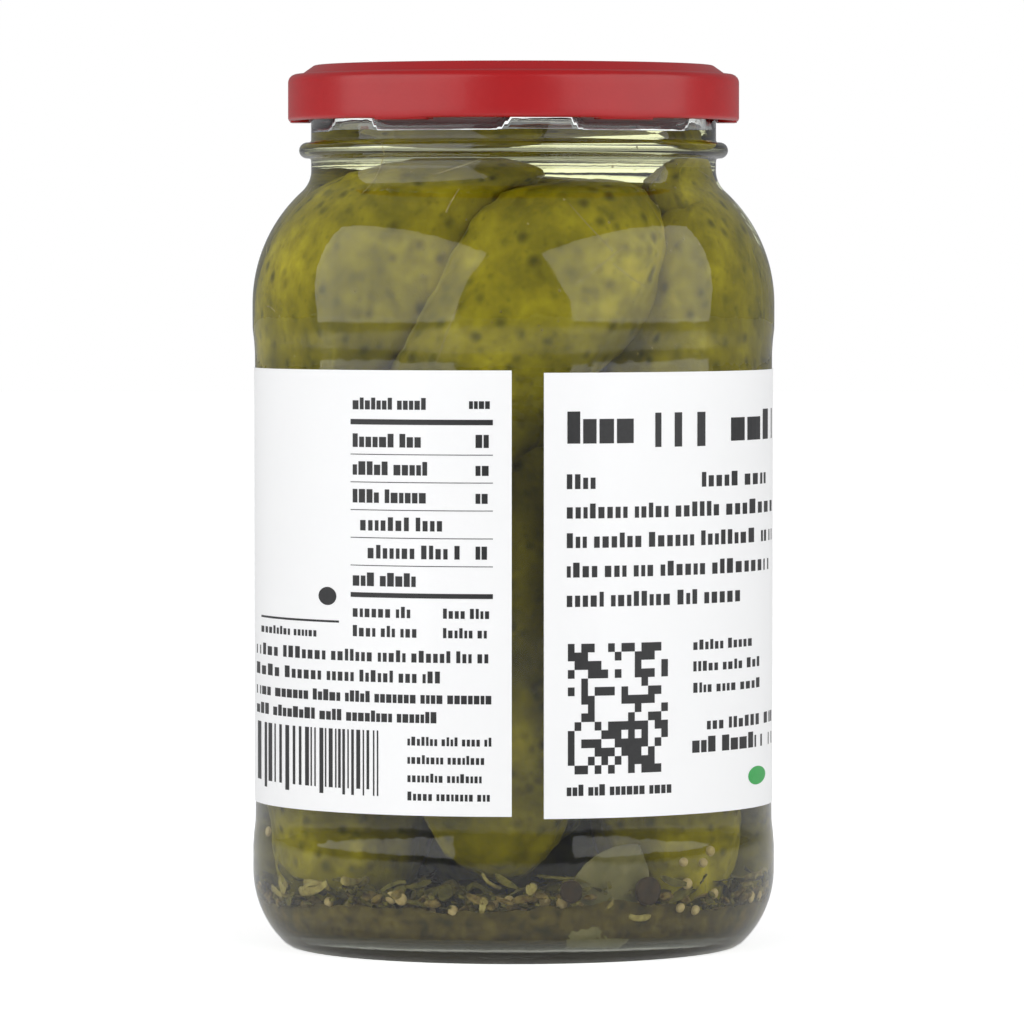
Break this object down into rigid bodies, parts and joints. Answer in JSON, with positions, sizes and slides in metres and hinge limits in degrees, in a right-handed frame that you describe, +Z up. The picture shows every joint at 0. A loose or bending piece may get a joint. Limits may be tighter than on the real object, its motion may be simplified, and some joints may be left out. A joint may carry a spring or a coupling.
{
  "type": "pickle jar",
  "caption": "Wide-mouth glass jar of whole pickles in brine, shut with a lug cap and wrapped in a paper label.",
  "frame": {"origin": "centre of the base, on the surface that the jar stands on", "axes": "+Z up along the jar's axis; -Y is the side where the two ends of the label leave a gap"},
  "size_m": [0.0996, 0.0996, 0.1679],
  "materials": {
    "glass": "clear, very slightly green, polished",
    "cap_enamel": "glossy red enamel on tinplate",
    "label_paper": "white coated paper, satin",
    "brine": "pale yellow clear liquid",
    "pickle": "wet olive-green skin with warts",
    "spice": "wet seeds, stems and leaves",
    "label_print": "printed fields of colour"
  },
  "bodies": {
    "root": {"jar": "glass", "cap": "cap_enamel", "label": "label_paper", "brine": "brine"}
  },
  "joints": []
}
